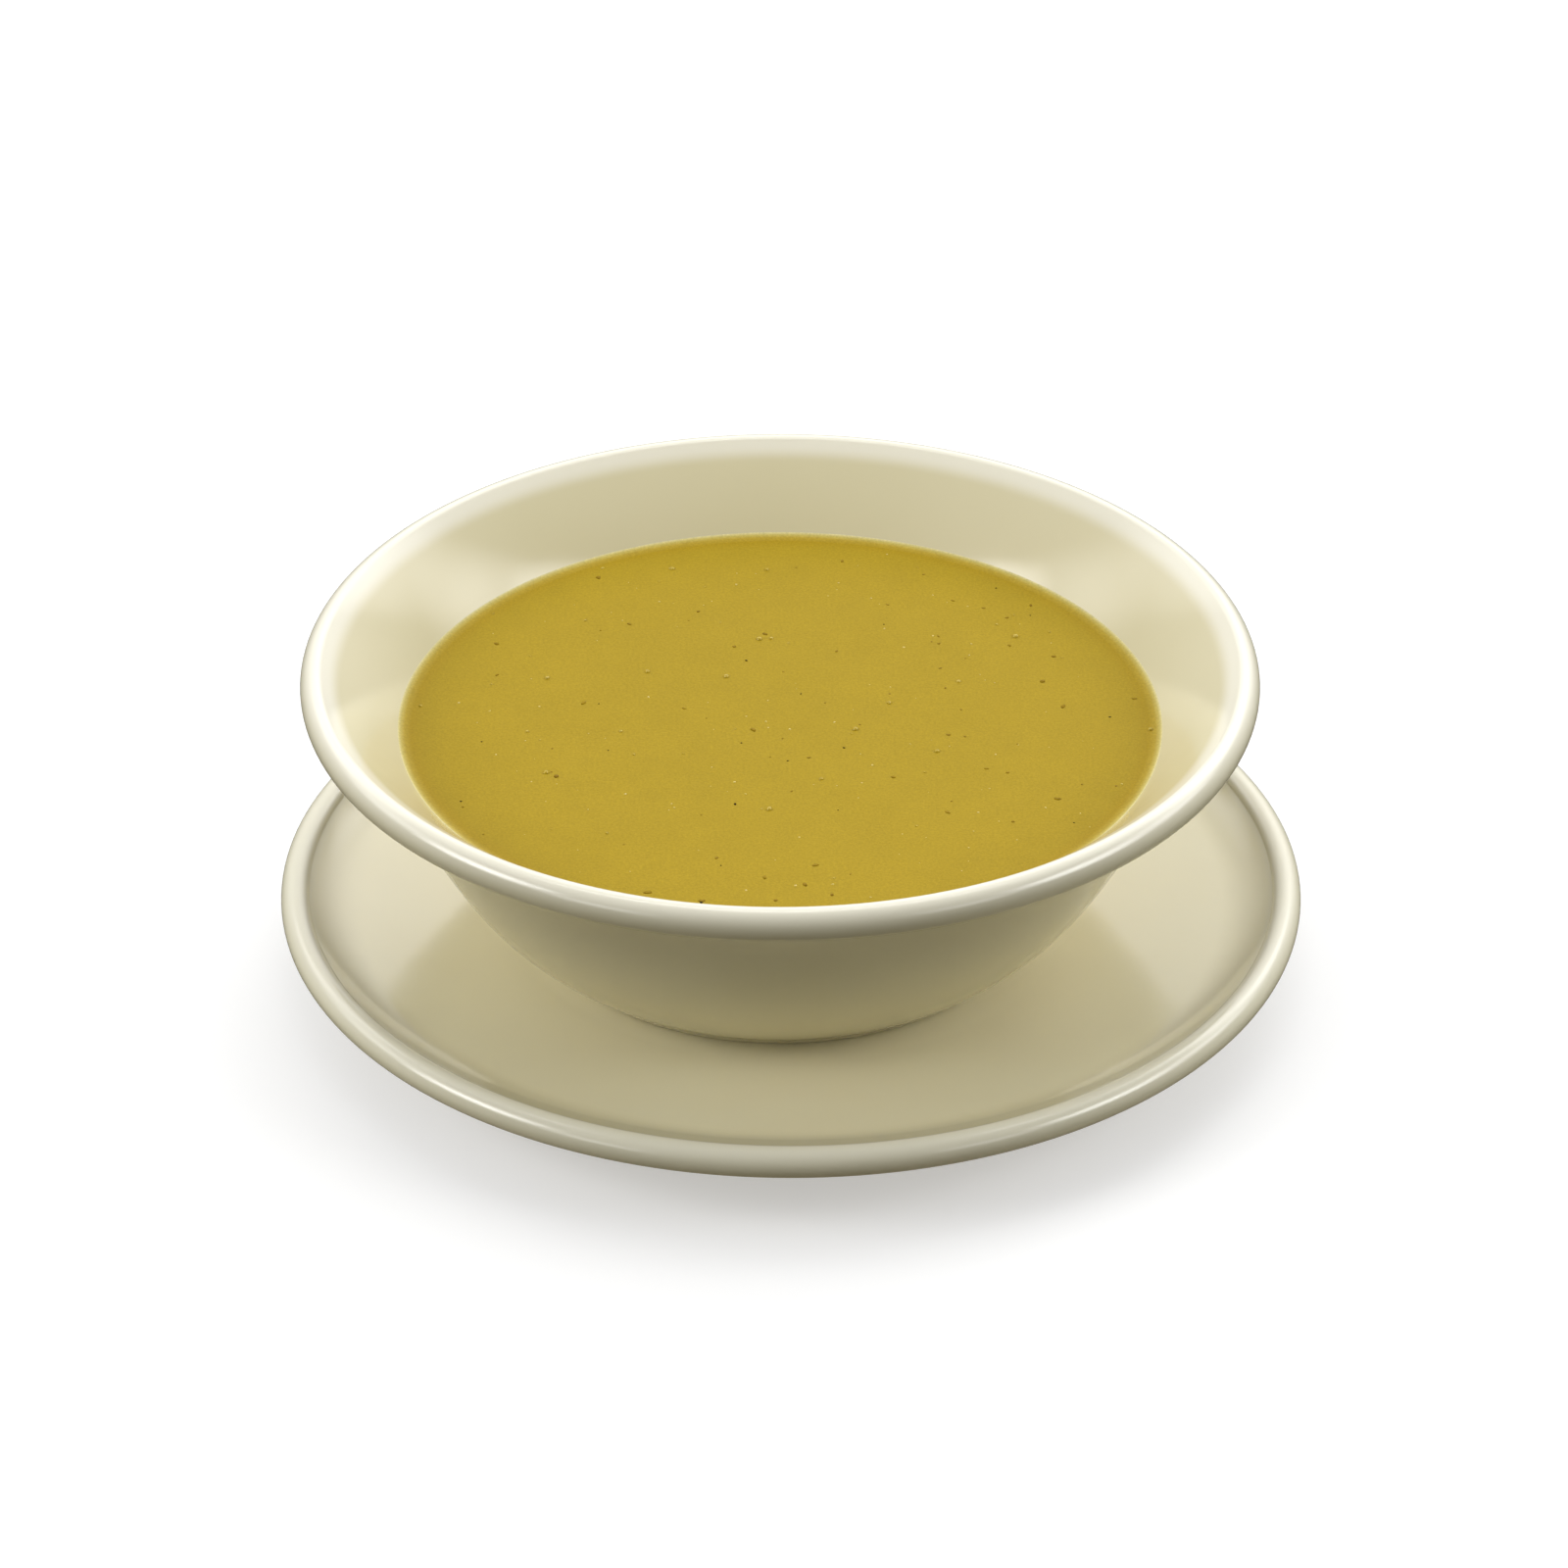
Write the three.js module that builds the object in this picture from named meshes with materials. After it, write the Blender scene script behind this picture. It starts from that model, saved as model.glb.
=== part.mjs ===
// A bowl of smooth lentil soup on its under-plate, in ivory-glazed hotel porcelain.
// Millimetres, +Z up. The origin is on the under-plate's axis, in the plane that it stands on.
// All three pieces are surfaces of revolution, so each one is a closed profile turned on its axis.
// A profile point is (radius, height).

import * as THREE from 'three';

// ---- Driving dimensions ----

const TURN_STEPS = 64; // facets round every piece, a multiple of 4 so that the widths are true
const GAP = 0.3; // clearance between pieces that touch

// Under-plate: heights are from the table.
const PLATE_RADIUS = 86.2;
const PLATE_LIP_ROLL = 2.6; // radius of the rolled lip's round section
const PLATE_SEAT_HEIGHT = 8.5; // top of the flat middle, where the bowl stands
const PLATE_SEAT_RADIUS = 46;
const PLATE_WELL_RADIUS = 74.2; // faint crease between the well and the steeper rim
const PLATE_WELL_RISE = 4.1; // from the seat up to that crease
const PLATE_WELL_PULL = 0.36; // height of the well curve's middle control, as a share of that rise
const PLATE_RIM_RISE = 6.3; // from the seat up to the crease inside the lip
const PLATE_LIP_RISE = 5.05; // from the seat up to the centre of the lip's section
const PLATE_FOOT_RADIUS = 50; // middle of the foot ring
const PLATE_FOOT_WIDTH = 4;
const PLATE_FOOT_EDGE = 0.8; // bevel on the ring's edges
const PLATE_UNDERSIDE = 3.6; // height of the underside inside the ring
const PLATE_RIM_UNDERSIDE = 7.7; // height of the underside below the rim's crease
const PLATE_UNDER_LIP = -130; // where the underside meets the lip's section, as an angle on it

// Bowl: heights are from the bottom of its own foot.
const BOWL_OFF_CENTRE = -1.83; // the bowl stands a little to the left on its plate
const BOWL_RADIUS = 80;
const BOWL_LIP_ROLL = 3.0; // radius of the rolled lip's section, outside and on top
const BOWL_LIP_EDGE = 1.6; // tighter radius of the section on the lip's inner side
const BOWL_LIP_EDGE_FROM = 75; // where that begins, as an angle on the section
const BOWL_LIP_HEIGHT = 46.1; // centre of the lip's section
const BOWL_UNDER_LIP = -111.4; // where the outer wall meets the section, as an angle on it
const BOWL_FOOT_RADIUS = 41.2; // outside of the foot
const BOWL_FOOT_WIDTH = 3.4;
const BOWL_FOOT_RECESS = 1.1; // depth of the hollow inside the foot
const BOWL_FLOOR_HEIGHT = 5.1; // top of the bowl's inner floor
const BOWL_FLOOR_RADIUS = 37.5;

// The wall is flared at the rim and rounds in to the foot. Each side of it is one S-shaped
// Bezier curve from the lip to its foot: where it ends, and how far and how steeply the curve
// is pulled at both ends. Slopes are in degrees below the level.
const OUTER_WALL = {
  topPull: 24.7,
  topSlope: 44.5,
  footRadius: 41.9,
  footHeight: 0.8,
  footPull: 22.0,
  footSlope: 33.7,
};
const INNER_WALL = {
  topPull: 30.1,
  topSlope: 37.0,
  footRadius: 41.3,
  footHeight: 6.4,
  footPull: 24.0,
  footSlope: 38.7,
};

// Soup
const SOUP_LEVEL = 37.0; // height of its surface above the bowl's foot

const IVORY_GLAZE = 0xd8d2b4;
const SOUP_GOLD = 0xbfa339;

// ---- Profiles ----

function point(radius, height) {
  return new THREE.Vector2(radius, height);
}

// A point on a round section. The angle is in degrees: 0 points away from the axis, 90 up.
function onSection(centre, radius, degrees) {
  const angle = THREE.MathUtils.degToRad(degrees);
  return point(centre.x + radius * Math.cos(angle), centre.y + radius * Math.sin(angle));
}

// Points on a round stretch of a profile, both ends included.
function arc(centre, radius, from, to, steps) {
  const points = [];
  for (let i = 0; i <= steps; i += 1) {
    points.push(onSection(centre, radius, from + ((to - from) * i) / steps));
  }
  return points;
}

// One side of the bowl's wall, from its top end down to its foot end.
function wallCurve(top, wall) {
  const foot = point(wall.footRadius, wall.footHeight);
  return new THREE.CubicBezierCurve(
    top,
    onSection(top, wall.topPull, 180 + wall.topSlope),
    onSection(foot, wall.footPull, wall.footSlope),
    foot,
  );
}

// Points on a curve between two of its parameters, both ends included.
function sample(curve, from, to, steps) {
  const points = [];
  for (let i = 0; i <= steps; i += 1) {
    points.push(curve.getPoint(from + ((to - from) * i) / steps));
  }
  return points;
}

// The parameter at which a curve that runs downwards crosses a height.
function parameterAtHeight(curve, height) {
  let above = 0;
  let below = 1;
  for (let i = 0; i < 40; i += 1) {
    const middle = (above + below) / 2;
    if (curve.getPoint(middle).y > height) above = middle;
    else below = middle;
  }
  return (above + below) / 2;
}

// The floor's edge rounds up into the inner wall's foot.
function floorFillet() {
  const slope = Math.tan(THREE.MathUtils.degToRad(INNER_WALL.footSlope));
  const cornerRadius = INNER_WALL.footRadius - (INNER_WALL.footHeight - BOWL_FLOOR_HEIGHT) / slope;
  return new THREE.QuadraticBezierCurve(
    point(INNER_WALL.footRadius, INNER_WALL.footHeight),
    point(cornerRadius, BOWL_FLOOR_HEIGHT),
    point(BOWL_FLOOR_RADIUS, BOWL_FLOOR_HEIGHT),
  );
}

// Moves a stretch of profile that runs down and towards the axis to its upper side.
function lifted(points, distance) {
  return points.map((p, i) => {
    const before = points[Math.max(i - 1, 0)];
    const after = points[Math.min(i + 1, points.length - 1)];
    const along = after.clone().sub(before).normalize();
    return point(p.x + along.y * distance, p.y - along.x * distance);
  });
}

// ---- Pieces ----

// A closed profile that starts and ends on the axis, turned into a solid that stands along +Z.
function turned(profile) {
  const geometry = new THREE.LatheGeometry(profile, TURN_STEPS);
  geometry.rotateX(Math.PI / 2);
  return geometry;
}

function piece(name, profile, material) {
  const mesh = new THREE.Mesh(turned(profile), material);
  mesh.name = name;
  return mesh;
}

function underPlateProfile() {
  const lip = point(PLATE_RADIUS - PLATE_LIP_ROLL, PLATE_SEAT_HEIGHT + PLATE_LIP_RISE);
  const aboveLipCentre = (PLATE_RIM_RISE - PLATE_LIP_RISE) / PLATE_LIP_ROLL;
  const rimCreaseAngle = 180 - THREE.MathUtils.radToDeg(Math.asin(aboveLipCentre));
  const footIn = PLATE_FOOT_RADIUS - PLATE_FOOT_WIDTH / 2;
  const footOut = PLATE_FOOT_RADIUS + PLATE_FOOT_WIDTH / 2;
  const wellMiddle = (PLATE_SEAT_RADIUS + PLATE_WELL_RADIUS) / 2;
  const well = new THREE.QuadraticBezierCurve(
    point(PLATE_WELL_RADIUS, PLATE_SEAT_HEIGHT + PLATE_WELL_RISE),
    point(wellMiddle, PLATE_SEAT_HEIGHT + PLATE_WELL_PULL * PLATE_WELL_RISE),
    point(PLATE_SEAT_RADIUS, PLATE_SEAT_HEIGHT),
  );
  return [
    point(0, PLATE_UNDERSIDE),
    point(footIn - PLATE_FOOT_EDGE, PLATE_UNDERSIDE),
    point(footIn, PLATE_UNDERSIDE - PLATE_FOOT_EDGE),
    point(footIn, PLATE_FOOT_EDGE),
    point(footIn + PLATE_FOOT_EDGE, 0),
    point(footOut - PLATE_FOOT_EDGE, 0),
    point(footOut, PLATE_FOOT_EDGE),
    point(footOut + PLATE_FOOT_EDGE, PLATE_UNDERSIDE),
    point(PLATE_WELL_RADIUS, PLATE_RIM_UNDERSIDE),
    ...arc(lip, PLATE_LIP_ROLL, PLATE_UNDER_LIP, -90, 3),
    ...arc(lip, PLATE_LIP_ROLL, -67.5, 90, 7),
    ...arc(lip, PLATE_LIP_ROLL, 110, rimCreaseAngle, 2),
    ...sample(well, 0, 1, 4),
    point(0, PLATE_SEAT_HEIGHT),
  ];
}

// The lip's round section is tighter on its inner side, where it runs down into the flare.
const bowlLip = point(BOWL_RADIUS - BOWL_LIP_ROLL, BOWL_LIP_HEIGHT);
const bowlLipEdge = onSection(bowlLip, BOWL_LIP_ROLL - BOWL_LIP_EDGE, BOWL_LIP_EDGE_FROM);
const innerTopAngle = 90 + INNER_WALL.topSlope;
const outerWall = wallCurve(onSection(bowlLip, BOWL_LIP_ROLL, BOWL_UNDER_LIP), OUTER_WALL);
const innerWall = wallCurve(onSection(bowlLipEdge, BOWL_LIP_EDGE, innerTopAngle), INNER_WALL);

// The soup's edge divides the inside of the bowl into the bare flare and the covered wall and floor.
const shore = parameterAtHeight(innerWall, SOUP_LEVEL);
const covered = [...sample(innerWall, shore, 1, 8), ...sample(floorFillet(), 1 / 3, 1, 2)];

function bowlProfile() {
  const footIn = BOWL_FOOT_RADIUS - BOWL_FOOT_WIDTH;
  return [
    point(0, BOWL_FOOT_RECESS),
    point(footIn - BOWL_FOOT_RECESS, BOWL_FOOT_RECESS),
    point(footIn, 0),
    point(BOWL_FOOT_RADIUS, 0),
    ...sample(outerWall, 1, 0, 10),
    ...arc(bowlLip, BOWL_LIP_ROLL, -90, 67.5, 7),
    ...arc(bowlLipEdge, BOWL_LIP_EDGE, 90, innerTopAngle, 2),
    ...sample(innerWall, shore / 3, (shore * 2) / 3, 1),
    ...covered,
    point(0, BOWL_FLOOR_HEIGHT),
  ];
}

function soupProfile() {
  const skin = lifted(covered, GAP).reverse();
  const edge = skin.pop();
  return [
    point(0, BOWL_FLOOR_HEIGHT + GAP),
    ...skin,
    point(edge.x, SOUP_LEVEL),
    point(0, SOUP_LEVEL),
  ];
}

// ---- Assembly ----

const porcelain = new THREE.MeshStandardMaterial({ color: IVORY_GLAZE, roughness: 0.15, metalness: 0 });
const lentilSoup = new THREE.MeshStandardMaterial({ color: SOUP_GOLD, roughness: 0.35, metalness: 0 });

const bowlWithSoup = new THREE.Group();
bowlWithSoup.add(piece('bowl', bowlProfile(), porcelain));
bowlWithSoup.add(piece('soup', soupProfile(), lentilSoup));
bowlWithSoup.position.set(BOWL_OFF_CENTRE, 0, PLATE_SEAT_HEIGHT + GAP);

const model = new THREE.Group();
model.add(piece('under_plate', underPlateProfile(), porcelain));
model.add(bowlWithSoup);

export default model;
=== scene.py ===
"""A bowl of smooth lentil soup on its under-plate, in ivory-glazed hotel porcelain.

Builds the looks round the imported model: finely turned porcelain, the soup with what floats on
it, and a plain pale studio. Metres, +Z up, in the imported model's own frame. The photograph
looks along +Y and down, with +X to its right.
"""

import random
from math import asin, atan2, cos, degrees, exp, hypot, pi, radians, sin, sqrt, tan

import bmesh
import bpy
from mathutils import Matrix, Vector, noise
from mathutils.geometry import interpolate_bezier


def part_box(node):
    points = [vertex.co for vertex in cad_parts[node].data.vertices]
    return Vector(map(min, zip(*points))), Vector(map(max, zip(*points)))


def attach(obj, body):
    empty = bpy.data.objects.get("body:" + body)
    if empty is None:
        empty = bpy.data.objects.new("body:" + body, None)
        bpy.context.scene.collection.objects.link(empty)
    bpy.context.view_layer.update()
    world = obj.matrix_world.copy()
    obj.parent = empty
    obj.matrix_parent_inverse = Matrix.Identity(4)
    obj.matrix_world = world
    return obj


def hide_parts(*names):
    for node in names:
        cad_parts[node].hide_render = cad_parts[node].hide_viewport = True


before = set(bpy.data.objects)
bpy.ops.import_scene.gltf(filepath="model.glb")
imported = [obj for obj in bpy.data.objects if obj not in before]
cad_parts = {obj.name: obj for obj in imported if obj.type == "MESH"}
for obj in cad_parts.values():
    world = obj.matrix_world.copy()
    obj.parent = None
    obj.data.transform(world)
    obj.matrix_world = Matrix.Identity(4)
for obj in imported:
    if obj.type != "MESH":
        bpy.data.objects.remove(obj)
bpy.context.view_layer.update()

MM = 0.001  # metres in a millimetre
TURN_STEPS = 192  # facets round every turned piece
ARC_STEP = 6  # degrees between the points of a round section
SAME_POINT = 0.0005 * MM  # points nearer than this are one point

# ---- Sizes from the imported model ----

_, plate_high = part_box("under_plate")
bowl_low, bowl_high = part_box("bowl")
_, soup_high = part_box("soup")

PLATE_AXIS = Vector((0, 0, 0))
PLATE_RADIUS = plate_high.x
PLATE_TOP = plate_high.z
BOWL_AXIS = Vector(((bowl_low.x + bowl_high.x) / 2, 0, 0))  # the bowl stands a little off centre
BOWL_RADIUS = (bowl_high.x - bowl_low.x) / 2
BOWL_BASE = bowl_low.z
BOWL_TOP = bowl_high.z
SOUP_LEVEL = soup_high.z
CLEARANCE = 0.3 * MM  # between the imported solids, closed here where one piece rests on another

# ---- Sizes of the under-plate's section. A slope is in degrees, a pull is a curve's handle ----

PLATE_LIP_ROLL = 2.6 * MM  # radius of the rolled lip's round section
PLATE_SEAT_HEIGHT = BOWL_BASE - CLEARANCE
PLATE_SEAT_RADIUS = 46 * MM
PLATE_WELL_RADIUS = 74.2 * MM  # faint crease between the well and the steeper rim
PLATE_WELL_RISE = 4.1 * MM
PLATE_WELL_PULL = 0.36  # height of the well curve's middle, as a share of that rise
PLATE_WELL_STEPS = 24
PLATE_RIM_RISE = 6.3 * MM
PLATE_UNDER_LIP = -122  # where the underside leaves the lip's section, as an angle on it
PLATE_UNDER_SLOPE = 26
PLATE_UNDER_PULL = 8 * MM
PLATE_UNDER_STEPS = 20
PLATE_ROOT_SLOPE = 8  # of the underside where it meets the foot ring
PLATE_ROOT_PULL = 12 * MM
PLATE_FOOT_OUT = 52 * MM
PLATE_FOOT_IN = 48 * MM
PLATE_FOOT_HEIGHT = 3.6 * MM
PLATE_FOOT_DRAFT = 0.8 * MM  # how far the foot ring spreads at its root
FOOT_ROUNDING = 0.7 * MM  # how far the rounding of a foot's edges reaches

# ---- Sizes of the bowl's section ----

LIP_ROLL = 3.0 * MM  # radius of the rolled lip's section, outside and on top
LIP_EDGE = 1.6 * MM  # tighter radius on its inner side
LIP_EDGE_FROM = 75  # where that begins, as an angle on the section
UNDER_LIP = -102.6  # where the small hollow under the lip begins, as an angle on the section
UNDER_LIP_FILLET = 0.9 * MM
OUTER_SLOPE = 44.5  # of the flare's outside, in degrees below the level
OUTER_PULL = 24.1 * MM
OUTER_FOOT = Vector((41.9 * MM, BOWL_BASE + 0.8 * MM))
OUTER_FOOT_SLOPE = 33.7
OUTER_FOOT_PULL = 22 * MM
OUTER_FOOT_ROUNDING = 0.5 * MM
OUTER_STEPS = 40
INNER_SLOPE = 37
INNER_PULL = 30.1 * MM
INNER_FOOT = Vector((41.3 * MM, BOWL_BASE + 6.4 * MM))
INNER_FOOT_SLOPE = 38.7
INNER_FOOT_PULL = 24 * MM
INNER_STEPS = 48
FOOT_RADIUS = 41.2 * MM
FOOT_WIDTH = 3.4 * MM
FOOT_RECESS = 1.1 * MM
FLOOR_HEIGHT = BOWL_BASE + 5.1 * MM
FLOOR_RADIUS = 37.5 * MM

# ---- Sizes of the soup ----

SOUP_BITE = 0.15 * MM  # how far the soup reaches into the porcelain, so that no gap shows
SOUP_CLIMB = 0.7 * MM  # the soup's edge is drawn up the wall by this
SOUP_CLIMB_WIDTH = 1.1 * MM
SOUP_CLIMB_RINGS = (4, 3.2, 2.5, 1.9, 1.4, 1, 0.65, 0.35, 0.15, 0)  # from the edge, in those widths
SOUP_RINGS = 44  # inside the drawn-up edge
SOUP_WALL_STEPS = 60
SOUP_DIP = 0.4 * MM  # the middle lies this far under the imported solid's level
SWELL_SIZE = 14 * MM  # slow unevenness of the thick surface
SWELL_HEIGHT = 0.05 * MM
SPECK_MARGIN = 3 * MM  # what floats keeps this far off the soup's edge
SPECK_WOBBLE = 0.12  # unevenness of a speck's outline, as a share of its width
BUBBLE_COUNT = 44
BUBBLE_SEED = 11
BUBBLE_MARGIN = 2 * MM
BUBBLE_FLATNESS = 0.7

# ---- Colours, as sRGB: each pair is a material's two tones ----

PLATE_IVORY = (0xE2DBBA, 0xE0D8B6)
PLATE_LIP_PAINTED_HIGHLIGHT = 0xE1DDC8  # painted highlight over the top of the plate's rolled lip
BOWL_IVORY = (0xD4CCA9, 0xD2CAA6)
# painted highlight over the top of the bowl's rolled lip
BOWL_LIP_PAINTED_HIGHLIGHT = 0xE7E3D1
SOUP_GOLD = [
    # share of the soup's radius, colour: even gold, a faint ochre band, then paler to the edge: the
    # thin film over the glaze, and a painted highlight along the meniscus
    (0.0, 0xA1881F),
    (0.93, 0xA1881F),
    (0.965, 0xA1861D),
    (0.982, 0xAD9434),
    (0.993, 0xC0AF60),
    (1.0, 0xD8D0A2),
]
HERB_BROWN = (0x1E1604, 0x35270A)
SKIN_OLIVE = (0x84681A, 0x957A1A)
CRUMB_CREAM = (0xBFAA4C, 0xDBCB82)
BUBBLE_GOLD = (0xAD9428, 0xB8A038)
TABLE_WHITE = (0xCCCCCC, 0xCDCDCD)


# ---- Small helpers: outlines, turned shapes, pieces ----


def on_section(centre, radius, angle):
    """A point on a round section. The angle is in degrees: 0 points away from the axis, 90 up."""
    return centre + radius * Vector((cos(radians(angle)), sin(radians(angle))))


def arc(centre, radius, start, end):
    """The points of a round stretch of an outline, both ends included."""
    steps = max(2, round(abs(end - start) / ARC_STEP))
    return [on_section(centre, radius, start + (end - start) * i / steps) for i in range(steps + 1)]


def rounded(before, corner, after, reach=FOOT_ROUNDING, steps=5):
    """The points that round a corner off, over `reach` on each side of it."""
    start = corner + reach * (before - corner).normalized()
    end = corner + reach * (after - corner).normalized()
    shares = [i / steps for i in range(steps + 1)]
    return [start.lerp(corner, share).lerp(corner.lerp(end, share), share) for share in shares]


def turned(name, outline, axis):
    """Turns an outline of (radius, height) points, from axis to axis, into a closed smooth piece."""
    bm = bmesh.new()
    points = [bm.verts.new((axis.x + radius, axis.y, height)) for radius, height in outline]
    for pair in zip(points, points[1:]):
        bm.edges.new(pair)
    profile = bm.verts[:] + bm.edges[:]
    bmesh.ops.spin(
        bm, geom=profile, cent=axis, axis=(0, 0, 1), angle=2 * pi, steps=TURN_STEPS, use_merge=True
    )
    bmesh.ops.remove_doubles(bm, verts=bm.verts[:], dist=SAME_POINT)
    bmesh.ops.recalc_face_normals(bm, faces=bm.faces[:])
    return finished(name, bm)


def finished(name, bm):
    """Makes a smooth-shaded object of a bmesh and frees it."""
    for face in bm.faces:
        face.smooth = True
    mesh = bpy.data.meshes.new(name)
    bm.to_mesh(mesh)
    bm.free()
    piece = bpy.data.objects.new(name, mesh)
    bpy.context.collection.objects.link(piece)
    return piece


# ---- Small helpers: shader nodes. Their owner is a material, a lamp or the world ----


def linear(colour):
    """An sRGB hex colour as linear RGBA."""
    channels = [(colour >> shift & 255) / 255 for shift in (16, 8, 0)]
    return (*[c / 12.92 if c <= 0.04045 else ((c + 0.055) / 1.055) ** 2.4 for c in channels], 1)


def connect(owner, node, **inputs):
    """Sets or links a node's inputs, by their names or, as in _0, by their numbers."""
    for name, value in inputs.items():
        number = name[1:]
        socket = node.inputs[int(number) if number.isdigit() else name.replace("_", " ")]
        if isinstance(value, bpy.types.NodeSocket):
            owner.node_tree.links.new(value, socket)
        else:
            socket.default_value = value


def add_node(owner, kind, settings=None, **inputs):
    """Adds a shader node with its own settings and its inputs."""
    node = owner.node_tree.nodes.new("ShaderNode" + kind)
    for name, value in (settings or {}).items():
        setattr(node, name, value)
    connect(owner, node, **inputs)
    return node


def maths(owner, operation, *values):
    """The number that a maths node makes of numbers."""
    inputs = {f"_{i}": value for i, value in enumerate(values)}
    return add_node(owner, "Math", {"operation": operation}, **inputs).outputs["Value"]


def vector_maths(owner, operation, *values):
    """What a vector node makes of vectors: a number for LENGTH and its like, else a vector."""
    inputs = {f"_{i}": value for i, value in enumerate(values)}
    node = add_node(owner, "VectorMath", {"operation": operation}, **inputs)
    is_number = operation in ("LENGTH", "DISTANCE", "DOT_PRODUCT")
    return node.outputs["Value" if is_number else "Vector"]


def scaled(owner, vector, factor):
    """A vector or colour times a number."""
    node = add_node(owner, "VectorMath", {"operation": "SCALE"}, Vector=vector, Scale=factor)
    return node.outputs["Vector"]


def map_range(owner, value, source, target=(0.0, 1.0), smooth=False):
    """A value stretched from one range onto another, evenly or with soft ends."""
    node = add_node(
        owner,
        "MapRange",
        {"interpolation_type": "SMOOTHSTEP" if smooth else "LINEAR"},
        Value=value,
        From_Min=source[0],
        From_Max=source[1],
        To_Min=target[0],
        To_Max=target[1],
    )
    return node.outputs["Result"]


def mottle(owner, place, size, detail, roughness):
    """A noise pattern whose features have about the given size."""
    node = add_node(
        owner, "TexNoise", Vector=place, Scale=1 / size, Detail=detail, Roughness=roughness
    )
    return node.outputs["Fac"]


def colour_ramp(owner, factor, stops):
    """A blend of sRGB hex colours at given positions along a factor."""
    ramp = add_node(owner, "ValToRGB", Fac=factor)
    elements = ramp.color_ramp.elements
    elements[0].position, elements[0].color = stops[0][0], linear(stops[0][1])
    elements[1].position, elements[1].color = stops[-1][0], linear(stops[-1][1])
    for position, colour in stops[1:-1]:
        elements.new(position).color = linear(colour)
    return ramp.outputs["Color"]


def two_tones(owner, factor, tones, start=0.3, end=0.7):
    """A blend of two tones over the middle of a noise's range."""
    return colour_ramp(owner, factor, [(start, tones[0]), (end, tones[1])])


def mix_colours(owner, share, first, second):
    """The first colour at a share of 0, the second at 1."""
    # a Mix node has its colours at inputs 6 and 7, and at output 2
    return add_node(owner, "Mix", {"data_type": "RGBA"}, _0=share, _6=first, _7=second).outputs[2]


def new_material(name):
    """An empty node material: the shader and the object's own coordinates in metres."""
    material = bpy.data.materials.new(name)
    material.use_nodes = True
    shader = material.node_tree.nodes["Principled BSDF"]
    place = add_node(material, "TexCoord").outputs["Object"]
    return material, shader, place


# ---- Materials ----


# Mask for the painted highlight over the top of a rolled lip.
def lip_highlight_mask(material, place, axis, lip, roll):
    """How near a point lies to the top of a rolled lip: 1 over it, fading to 0 beside and under it."""
    centred = vector_maths(material, "SUBTRACT", place, axis)
    level = vector_maths(material, "MULTIPLY", centred, (1, 1, 0))
    radius = vector_maths(material, "LENGTH", level)
    height = add_node(material, "SeparateXYZ", Vector=centred).outputs["Z"]
    section = add_node(material, "CombineXYZ", X=radius, Z=height).outputs["Vector"]
    apart = vector_maths(material, "DISTANCE", section, (lip.x, 0, lip.y + roll / 2))
    return map_range(material, apart, (0.5 * roll, 1.4 * roll), (1.0, 0.0), smooth=True)


def glazed_porcelain(name, tones, highlight_colour, axis, lip, roll):
    """Hotel porcelain under a clear ivory glaze: an even, warm body with a hard, wet-looking gloss.

    Its two tones change slowly over the piece. The glaze lies a little unevenly, so reflections
    waver over some millimetres. Over the top of the rolled lip a whiter colour, `highlight_colour`,
    is painted in as a highlight.
    """
    material, shader, place = new_material(name)
    ivory = two_tones(material, mottle(material, place, 30 * MM, 2.0, 0.5), tones)
    # where the painted lip highlight goes: 1 over the top of the lip
    highlight_share = lip_highlight_mask(material, place, axis, lip, roll)
    ripple = mottle(material, place, 9 * MM, 1.0, 0.4)
    glaze = add_node(material, "Bump", Height=ripple, Distance=0.03 * MM)
    connect(
        material,
        shader,
        Base_Color=mix_colours(material, highlight_share, ivory, linear(highlight_colour)),
        Roughness=0.12,
        IOR=1.54,
        Normal=glaze.outputs["Normal"],
    )
    return material


def lentil_puree(shore_radius):
    """Blended yellow lentils: opaque gold with a satin, wet skin and a fine mealy grain.

    Along the wall the soup shows a deeper ochre. Its last thin film, paler towards the glaze, is
    partly a painted highlight along the meniscus.
    """
    material, shader, place = new_material("lentil_puree")
    centred = add_node(
        material,
        "Mapping",
        Vector=place,
        Location=-BOWL_AXIS / shore_radius,
        Scale=(1 / shore_radius, 1 / shore_radius, 0),
    )
    from_axis = vector_maths(material, "LENGTH", centred.outputs["Vector"])
    # the pale outer end of this ramp is partly a painted highlight along the meniscus
    by_radius = colour_ramp(material, from_axis, SOUP_GOLD)
    meal = mottle(material, place, 0.45 * MM, 3.0, 0.75)
    shade = map_range(material, mottle(material, place, 7 * MM, 4.0, 0.65), (0.3, 0.7), (0.97, 1.03))
    grain = map_range(material, meal, (0.3, 0.7), (0.85, 1.15))
    relief = add_node(material, "Bump", Height=meal, Distance=0.02 * MM)
    connect(
        material,
        shader,
        Base_Color=scaled(material, by_radius, maths(material, "MULTIPLY", shade, grain)),
        Roughness=0.38,
        IOR=1.36,
        Specular_IOR_Level=0.06,
        Normal=relief.outputs["Normal"],
    )
    return material


def speck_material(name, tones, roughness, gloss):
    """One of the small things in the soup: two tones that change from speck to speck."""
    material, shader, place = new_material(name)
    tone = mottle(material, place, 3 * MM, 2.0, 0.6)
    connect(
        material,
        shader,
        Base_Color=two_tones(material, tone, tones, 0.35, 0.65),
        Roughness=roughness,
        IOR=1.4,
        Specular_IOR_Level=gloss,
    )
    return material


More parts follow.
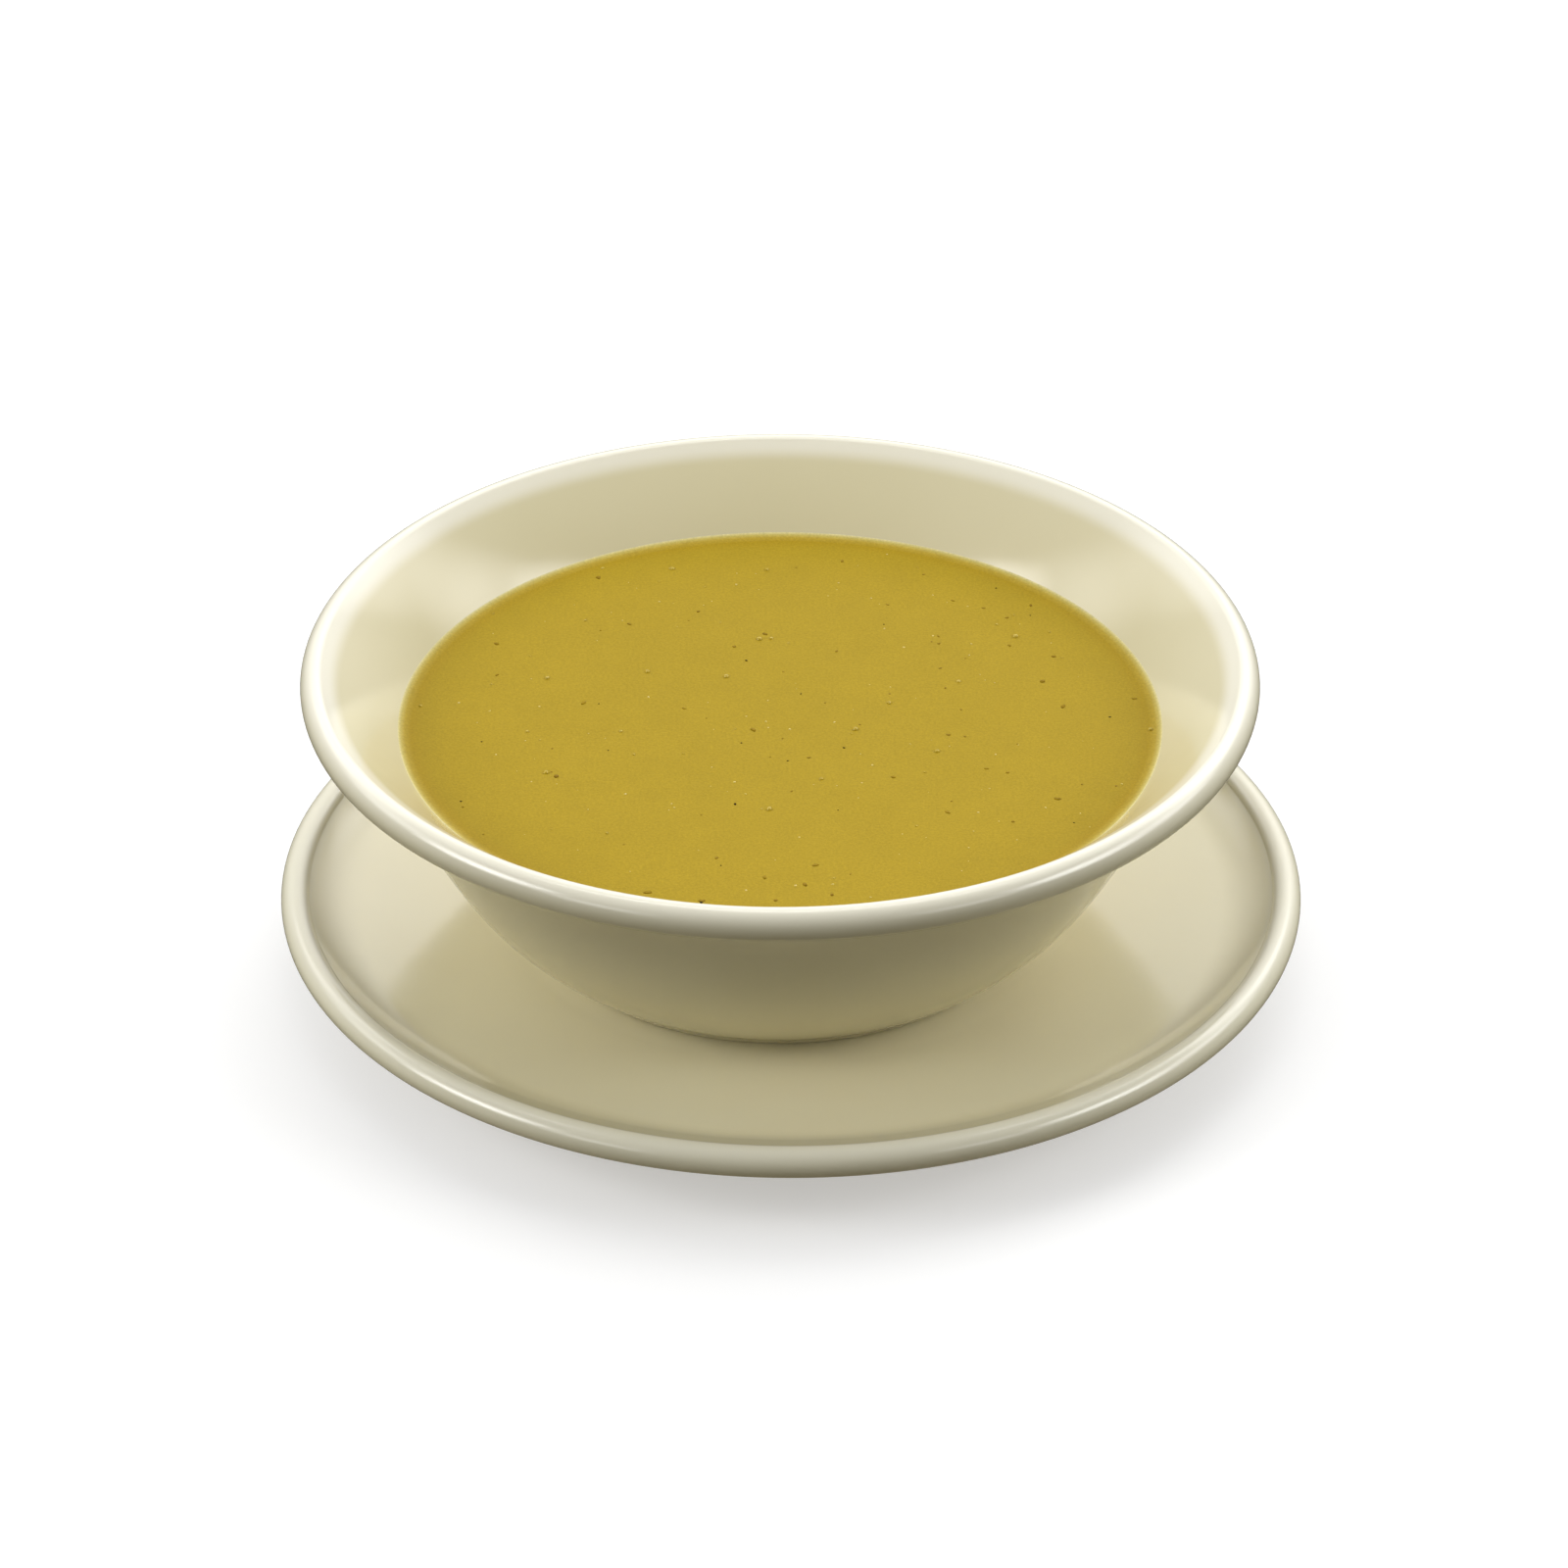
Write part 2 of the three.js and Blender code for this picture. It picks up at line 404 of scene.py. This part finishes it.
def opal_acrylic():
    """A white acrylic light table: matt, and lit from below so that shadows on it stay pale.

    Its glow rises away from the middle, so that the sweep behind the object is as white.
    """
    material, shader, place = new_material("opal_acrylic")
    white = two_tones(material, mottle(material, place, 400 * MM, 1.0, 0.5), TABLE_WHITE)
    from_middle = vector_maths(material, "LENGTH", place)
    connect(
        material,
        shader,
        Base_Color=white,
        Roughness=0.9,
        Emission_Color=(1, 1, 1, 1),
        Emission_Strength=map_range(material, from_middle, (0.4, 1.2), (0.42, 1.0)),
    )
    return material


# ---- Porcelain ----


def plate_lip():
    """The centre of the under-plate lip's round section."""
    return Vector((PLATE_RADIUS - PLATE_LIP_ROLL, PLATE_TOP - PLATE_LIP_ROLL))


def plate_well():
    """The well's curve from the bowl's seat out to the crease: a quadratic curve, as a cubic."""
    seat = Vector((PLATE_SEAT_RADIUS, PLATE_SEAT_HEIGHT))
    crease = Vector((PLATE_WELL_RADIUS, PLATE_SEAT_HEIGHT + PLATE_WELL_RISE))
    middle = Vector(
        ((crease.x + seat.x) / 2, PLATE_SEAT_HEIGHT + PLATE_WELL_PULL * PLATE_WELL_RISE)
    )
    return interpolate_bezier(
        seat, seat.lerp(middle, 2 / 3), crease.lerp(middle, 2 / 3), crease, PLATE_WELL_STEPS
    )


def plate_underside(ring_root):
    """The underside's curve from the lip in to the root of the foot ring."""
    under_lip = on_section(plate_lip(), PLATE_LIP_ROLL, PLATE_UNDER_LIP)
    return interpolate_bezier(
        under_lip,
        on_section(under_lip, PLATE_UNDER_PULL, 180 + PLATE_UNDER_SLOPE),
        on_section(ring_root, PLATE_ROOT_PULL, PLATE_ROOT_SLOPE),
        ring_root,
        PLATE_UNDER_STEPS,
    )


def under_plate():
    """The under-plate: rolled lip, steep rim, a crease, the shallow well and a foot ring."""
    lip = plate_lip()
    rim_crease = 180 - degrees(asin((PLATE_SEAT_HEIGHT + PLATE_RIM_RISE - lip.y) / PLATE_LIP_ROLL))
    seat = Vector((PLATE_SEAT_RADIUS, PLATE_SEAT_HEIGHT))
    ring_root = Vector((PLATE_FOOT_OUT + PLATE_FOOT_DRAFT, PLATE_FOOT_HEIGHT))
    underside = plate_underside(ring_root)
    ring_out = Vector((PLATE_FOOT_OUT, 0))
    ring_in = Vector((PLATE_FOOT_IN, 0))
    hollow_edge = Vector((PLATE_FOOT_IN - PLATE_FOOT_DRAFT, PLATE_FOOT_HEIGHT))
    hollow_centre = Vector((0, PLATE_FOOT_HEIGHT))
    outline = [
        Vector((0, PLATE_SEAT_HEIGHT)),
        seat / 2 + Vector((0, PLATE_SEAT_HEIGHT / 2)),
        *plate_well(),
        *arc(lip, PLATE_LIP_ROLL, rim_crease, PLATE_UNDER_LIP),
        *underside[1:-1],
        *rounded(underside[-2], ring_root, ring_out),
        *rounded(ring_root, ring_out, ring_in),
        *rounded(ring_out, ring_in, hollow_edge),
        *rounded(ring_in, hollow_edge, hollow_centre),
        hollow_centre,
    ]
    piece = turned("under_plate_glazed", outline, PLATE_AXIS)
    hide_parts("under_plate")
    return piece


def bowl_lip():
    """The centres of the bowl lip's two round sections, the wide outer one and the tight inner one."""
    rise = (LIP_ROLL - LIP_EDGE) * sin(radians(LIP_EDGE_FROM))
    wide = Vector((BOWL_RADIUS - LIP_ROLL, BOWL_TOP - LIP_EDGE - rise))
    return wide, on_section(wide, LIP_ROLL - LIP_EDGE, LIP_EDGE_FROM)


def inner_wall(steps):
    """The inside of the bowl from the lip down to the floor's rounding."""
    top = on_section(bowl_lip()[1], LIP_EDGE, 90 + INNER_SLOPE)
    return interpolate_bezier(
        top,
        on_section(top, INNER_PULL, 180 + INNER_SLOPE),
        on_section(INNER_FOOT, INNER_FOOT_PULL, INNER_FOOT_SLOPE),
        INNER_FOOT,
        steps,
    )


def inner_floor():
    """The rounding from the wall's foot to the bowl's flat floor, and the floor's centre."""
    run = (INNER_FOOT.y - FLOOR_HEIGHT) / tan(radians(INNER_FOOT_SLOPE))
    corner = Vector((INNER_FOOT.x - run, FLOOR_HEIGHT))
    edge = Vector((FLOOR_RADIUS, FLOOR_HEIGHT))
    rounding = rounded(INNER_FOOT, corner, edge, (INNER_FOOT - corner).length)
    return rounding[1:] + [edge, Vector((0, FLOOR_HEIGHT))]


def bowl():
    """The flared bowl: rolled lip with a small hollow under it, S-shaped wall and low foot."""
    wide, tight = bowl_lip()
    fillet = on_section(wide, LIP_ROLL + UNDER_LIP_FILLET, UNDER_LIP)
    outer_top = on_section(fillet, UNDER_LIP_FILLET, 90 + OUTER_SLOPE)
    outer_wall = interpolate_bezier(
        outer_top,
        on_section(outer_top, OUTER_PULL, 180 + OUTER_SLOPE),
        on_section(OUTER_FOOT, OUTER_FOOT_PULL, OUTER_FOOT_SLOPE),
        OUTER_FOOT,
        OUTER_STEPS,
    )
    standing = PLATE_SEAT_HEIGHT  # the foot is drawn down onto the plate
    foot_out = Vector((FOOT_RADIUS, standing))
    foot_in = Vector((FOOT_RADIUS - FOOT_WIDTH, standing))
    hollow_edge = Vector((foot_in.x - FOOT_RECESS, BOWL_BASE + FOOT_RECESS))
    hollow_centre = Vector((0, BOWL_BASE + FOOT_RECESS))
    outline = [
        *reversed(inner_floor()),
        *reversed(inner_wall(INNER_STEPS)),
        *arc(tight, LIP_EDGE, 90 + INNER_SLOPE, LIP_EDGE_FROM)[1:],
        *arc(wide, LIP_ROLL, LIP_EDGE_FROM, UNDER_LIP)[1:],
        *arc(fillet, UNDER_LIP_FILLET, UNDER_LIP + 180, 90 + OUTER_SLOPE)[1:],
        *outer_wall[1:],
        *rounded(OUTER_FOOT, foot_out, foot_in, OUTER_FOOT_ROUNDING),
        *rounded(foot_out, foot_in, hollow_edge),
        *rounded(foot_in, hollow_edge, hollow_centre),
        hollow_centre,
    ]
    piece = turned("bowl_glazed", outline, BOWL_AXIS)
    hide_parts("bowl")
    return piece


# ---- Soup ----


def wall_at(height):
    """The point of the bowl's inside at a height."""
    wall = inner_wall(400)
    return min(wall, key=lambda point: abs(point.y - height))


SHORE = wall_at(SOUP_LEVEL - SOUP_DIP + SOUP_CLIMB)


def soup_height(x, y):
    """The height of the soup's surface: slow swells, and the edge drawn up the wall."""
    radius = hypot(x - BOWL_AXIS.x, y - BOWL_AXIS.y)
    climb = SOUP_CLIMB * exp(-(SHORE.x - radius) / SOUP_CLIMB_WIDTH)
    swell = SWELL_HEIGHT * noise.noise(Vector((x, y, 0)) / SWELL_SIZE)
    return SOUP_LEVEL - SOUP_DIP + climb + swell * (1 - climb / SOUP_CLIMB)


def soup():
    """The soup: a closed body that fills the bowl just into its wall, with a living surface."""
    edge = SHORE + Vector((SOUP_BITE, 0))
    near = [edge.x - SOUP_CLIMB_WIDTH * share for share in SOUP_CLIMB_RINGS]
    far = [near[0] * i / SOUP_RINGS for i in range(SOUP_RINGS)]
    surface = [Vector((radius, SOUP_LEVEL)) for radius in far + near]
    outward = Vector((SOUP_BITE, -SOUP_BITE))
    wall = [point for point in inner_wall(SOUP_WALL_STEPS) if point.y < SHORE.y]
    body = [point + outward for point in wall + inner_floor()[:-1]]
    outline = [*surface, *body, Vector((0, FLOOR_HEIGHT - SOUP_BITE))]
    piece = turned("lentil_soup", outline, BOWL_AXIS)
    for vertex in piece.data.vertices:
        if abs(vertex.co.z - SOUP_LEVEL) < 0.001 * MM:
            vertex.co.z = soup_height(vertex.co.x, vertex.co.y)
    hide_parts("soup")
    return piece


def spot(draw, margin):
    """A random place on the soup's surface, evenly spread and a margin off its edge."""
    radius = (SHORE.x - margin) * sqrt(draw.random())
    angle = 2 * pi * draw.random()
    x = BOWL_AXIS.x + radius * cos(angle)
    y = BOWL_AXIS.y + radius * sin(angle)
    return x, y, soup_height(x, y)


def floating(name, seed, count, size, flatness, height, stretch):
    """Small things spread over the soup, joined as one piece.

    Sizes are (smallest, largest) widths, and most are small. Flatness is the thickness as a share
    of the width, height says how much of it stands above the surface, and stretch is the longest
    length as a multiple of the width.
    """
    draw = random.Random(seed)
    bm = bmesh.new()
    for _ in range(count):
        x, y, level = spot(draw, SPECK_MARGIN)
        width = size[0] + (size[1] - size[0]) * draw.random() ** 2.5
        length = width * (1 + (stretch - 1) * draw.random())
        thick = width * flatness
        place = Matrix.Translation((x, y, level + thick * (height - 0.5)))
        turn = Matrix.Rotation(2 * pi * draw.random(), 4, "Z")
        shape = Matrix.Diagonal((length, width, thick, 1))
        made = bmesh.ops.create_icosphere(bm, subdivisions=1, radius=0.5, matrix=place @ turn @ shape)
        for vertex in made["verts"]:
            vertex.co.x += width * SPECK_WOBBLE * (draw.random() - 0.5)
            vertex.co.y += width * SPECK_WOBBLE * (draw.random() - 0.5)
    return finished(name, bm)


def bubbles():
    """Small bubbles at the surface, each a thin dome, joined as one piece."""
    draw = random.Random(BUBBLE_SEED)
    bm = bmesh.new()
    for _ in range(BUBBLE_COUNT):
        place = Matrix.Translation(spot(draw, BUBBLE_MARGIN))
        size = (0.4 + 0.75 * draw.random() ** 2) * MM
        shape = Matrix.Diagonal((size, size, size * BUBBLE_FLATNESS, 1))
        bmesh.ops.create_uvsphere(
            bm, u_segments=8, v_segments=5, radius=0.5, matrix=place @ shape
        )
    return finished("soup_bubbles", bm)


# ---- Camera ----

PHOTO_SIZE = 1600  # pixels each way
RIM_CENTRE_PX = (795.3, 690.6)  # where the centre of the bowl's rim shows in the photograph
RIM_DROP = 0.1 * MM  # that centre lies this far under the lip section's own
CAMERA_ELEVATION = 30.67  # degrees above the rim's centre
CAMERA_DISTANCE = 1.44
CAMERA_LENS = 198.16  # mm, on a sensor of the width below
SENSOR_WIDTH = 36


def photo_camera():
    """The photograph's own view: its place is set from the rim, its aim from where the rim shows."""
    rim_centre = BOWL_AXIS + Vector((0, 0, bowl_lip()[0].y - RIM_DROP))
    elevation = radians(CAMERA_ELEVATION)
    data = bpy.data.cameras.new("photo_camera")
    data.lens = CAMERA_LENS
    data.sensor_width = SENSOR_WIDTH
    data.clip_start = 0.05
    camera = bpy.data.objects.new("photo_camera", data)
    bpy.context.collection.objects.link(camera)
    camera.location = rim_centre + CAMERA_DISTANCE * Vector((0, -cos(elevation), sin(elevation)))
    pixels = CAMERA_LENS / SENSOR_WIDTH * PHOTO_SIZE
    lower = atan2(PHOTO_SIZE / 2 - RIM_CENTRE_PX[1], pixels)
    right = atan2(PHOTO_SIZE / 2 - RIM_CENTRE_PX[0], pixels)
    camera.rotation_euler = (pi / 2 - elevation - lower, 0, -right)
    bpy.context.scene.camera = camera


# ---- Stage and lights ----

SOFTBOXES = [
    # name, azimuth, elevation, width, height (metres), power (watts)
    ("right_front_box", 74, 30, 0.85, 0.6, 6.3),
    ("right_back_box", 105, 31, 0.8, 0.6, 2.8),
    ("left_front_box", 287, 30, 0.85, 0.6, 7.8),
    ("left_back_box", 255, 31, 0.8, 0.6, 1.9),
    ("back_right_box", 138, 36, 0.8, 0.6, 2.0),
    ("back_left_box", 222, 36, 0.8, 0.6, 1.4),
    ("front_right_box", 42, 22, 0.7, 0.5, 1.2),
    ("front_left_box", 318, 22, 0.7, 0.5, 1.4),
    ("overhead_strip", 180, 78, 1.3, 0.22, 2.4),
]
SOFTBOX_DISTANCE = 1.3
SOFTBOX_AIM = Vector((0, 0, 40 * MM))
FADE_GAIN = 36.0  # the mean of x (1 - x) is a sixth, so this keeps a faded lamp's power
TENT_GLOWS = [
    # azimuth, elevation (degrees), brightness: wide soft patches of the light tent's cloth
    (158, 34, 2.9),
    (202, 30, 1.3),
    (240, 45, 0.5),
    (300, 45, 0.5),
    (120, 45, 0.35),
    (180, 60, 0.5),
]
GLOW_TIGHTNESS = 12.0  # power of the cosine: half as bright 19 degrees from the middle
TENT_FOOT = (-6, 4)  # the cloth fades in between these elevations
TABLE_TINT = (1.0, 0.88, 0.62)  # warmed by the porcelain that it comes back from
TABLE_GLOW = (0.02, 0.35)  # brightness off the table, from beside the object and from right under it
TABLE_EDGES = (-30, -70)  # elevations between which it changes
FLOOR_RING = 0.3  # metres between the points of the floor's flat part
FLOOR_RINGS = 7
SWEEP_CENTRE = Vector((2.2, 1.0))  # of the round stretch that lifts the floor
SWEEP_RADIUS = 1.0


def towards(azimuth, elevation):
    """A direction from the bowl. Azimuth 0 is in front and 90 to the right."""
    a, e = radians(azimuth), radians(elevation)
    return Vector((sin(a) * cos(e), -cos(a) * cos(e), sin(e)))


def sines(angles):
    """The heights at which directions of given elevations meet a unit sphere."""
    return [sin(radians(angle)) for angle in angles]


def softbox(name, azimuth, elevation, width, height, power):
    """A rectangular lamp that faces the bowl and fades out towards its edges."""
    away = towards(azimuth, elevation)
    data = bpy.data.lights.new(name, "AREA")
    data.shape = "RECTANGLE"
    data.size = width
    data.size_y = height
    data.energy = power
    data.use_nodes = True
    across = add_node(data, "NewGeometry").outputs["Parametric"]
    back = vector_maths(data, "SUBTRACT", (1, 1, 1), across)
    fade = vector_maths(data, "MULTIPLY", across, back)
    sides = add_node(data, "SeparateXYZ", Vector=fade)
    both = maths(data, "MULTIPLY", sides.outputs["X"], sides.outputs["Y"])
    emission = data.node_tree.nodes["Emission"]
    connect(data, emission, Strength=maths(data, "MULTIPLY", both, FADE_GAIN))
    lamp = bpy.data.objects.new(name, data)
    lamp.location = SOFTBOX_AIM + SOFTBOX_DISTANCE * away
    lamp.rotation_euler = away.to_track_quat("Z", "Y").to_euler()
    bpy.context.collection.objects.link(lamp)


def light_tent():
    """A white cloth tent round the table, brighter where lamps shine on it from outside."""
    world = bpy.data.worlds.new("light_tent")
    world.use_nodes = True
    ray = add_node(world, "TexCoord").outputs["Generated"]
    rise = add_node(world, "SeparateXYZ", Vector=ray).outputs["Z"]
    cloth = 0.0
    for azimuth, elevation, brightness in TENT_GLOWS:
        facing = vector_maths(world, "DOT_PRODUCT", ray, towards(azimuth, elevation))
        glow = maths(world, "POWER", maths(world, "MAXIMUM", facing, 0.0), GLOW_TIGHTNESS)
        cloth = maths(world, "MULTIPLY_ADD", glow, brightness, cloth)
    table = map_range(world, rise, sines(TABLE_EDGES), TABLE_GLOW, smooth=True)
    above = map_range(world, rise, sines(TENT_FOOT), smooth=True)
    light = mix_colours(world, above, scaled(world, TABLE_TINT, table), cloth)
    connect(world, world.node_tree.nodes["Background"], Color=light)
    bpy.context.scene.world = world


def studio():
    """A white floor that sweeps up all round, the softboxes and the light tent."""
    flat = [Vector((FLOOR_RING * i, 0)) for i in range(FLOOR_RINGS)]
    paper = turned("studio_floor", flat + arc(SWEEP_CENTRE, SWEEP_RADIUS, -90, 0), PLATE_AXIS)
    paper.data.materials.append(opal_acrylic())
    paper.visible_diffuse = False
    paper.visible_glossy = False
    paper.visible_shadow = False
    for box in SOFTBOXES:
        softbox(*box)
    light_tent()
    bpy.context.scene.view_settings.view_transform = "Standard"


# ---- Assembly ----


def dress(piece, material):
    """Gives a piece its material and its body."""
    piece.data.materials.append(material)
    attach(piece, "root")


dress(
    under_plate(),
    glazed_porcelain(
        "ivory_glazed_porcelain_plate",
        PLATE_IVORY,
        PLATE_LIP_PAINTED_HIGHLIGHT,
        PLATE_AXIS,
        plate_lip(),
        PLATE_LIP_ROLL,
    ),
)
dress(
    bowl(),
    glazed_porcelain(
        "ivory_glazed_porcelain_bowl",
        BOWL_IVORY,
        BOWL_LIP_PAINTED_HIGHLIGHT,
        BOWL_AXIS,
        bowl_lip()[0],
        LIP_ROLL,
    ),
)
dress(soup(), lentil_puree(SHORE.x))
dress(
    floating("herb_flakes", 3, 18, (0.3 * MM, 0.6 * MM), 0.25, 0.6, 1.5),
    speck_material("dried_herb_flake", HERB_BROWN, 0.6, 0.05),
)
dress(
    floating("lentil_skins", 5, 70, (0.4 * MM, 1.0 * MM), 0.12, 0.55, 1.8),
    speck_material("toasted_lentil_skin", SKIN_OLIVE, 0.5, 0.05),
)
dress(
    floating("lentil_crumbs", 8, 130, (0.2 * MM, 0.5 * MM), 0.35, 0.6, 1.5),
    speck_material("pale_lentil_crumb", CRUMB_CREAM, 0.4, 0.1),
)
dress(bubbles(), speck_material("soup_bubble_film", BUBBLE_GOLD, 0.12, 0.45))

studio()
photo_camera()
